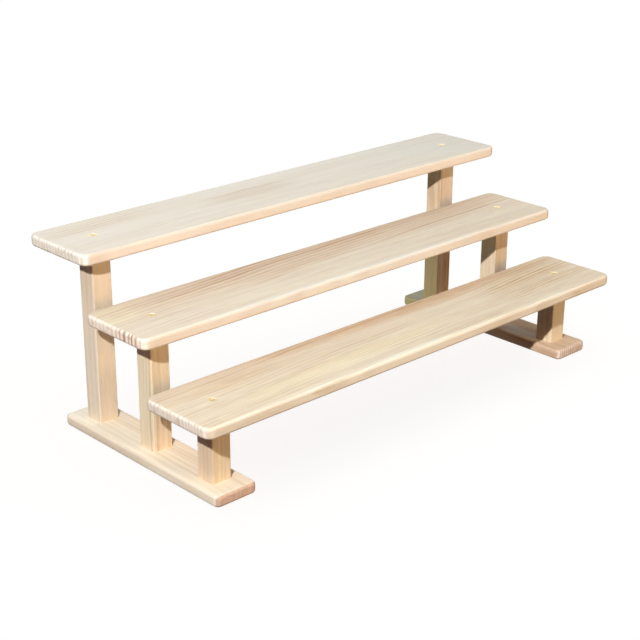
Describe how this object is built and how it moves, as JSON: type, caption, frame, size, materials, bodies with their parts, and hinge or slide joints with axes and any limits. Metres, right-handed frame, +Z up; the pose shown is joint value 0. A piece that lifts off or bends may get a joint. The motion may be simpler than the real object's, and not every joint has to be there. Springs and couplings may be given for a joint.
{
  "type": "tiered display riser",
  "caption": "Free-standing pine display riser: planks stepped like stairs on square posts, screwed to flat base rails with rounded sides.",
  "frame": {"origin": "on the table, under the middle of the riser (centre of the bounding box, bottom face)", "axes": "+X along the planks, +Y from the low front plank to the high back plank, +Z up"},
  "size_m": [0.4, 0.184, 0.14],
  "materials": {
    "pine": "planed and sanded, unfinished",
    "screw": "yellow zinc plated"
  },
  "bodies": {
    "root": {"lower_plank": "pine", "middle_plank": "pine", "upper_plank": "pine", "left_rail": "pine", "left_lower_post": "pine", "left_lower_plank_screw": "screw", "left_lower_rail_screw": "screw", "left_middle_post": "pine", "left_middle_plank_screw": "screw", "left_middle_rail_screw": "screw", "left_upper_post": "pine", "left_upper_plank_screw": "screw", "left_upper_rail_screw": "screw", "right_rail": "pine", "right_lower_post": "pine", "right_lower_plank_screw": "screw", "right_lower_rail_screw": "screw", "right_middle_post": "pine", "right_middle_plank_screw": "screw", "right_middle_rail_screw": "screw", "right_upper_post": "pine", "right_upper_plank_screw": "screw", "right_upper_rail_screw": "screw"}
  },
  "joints": []
}
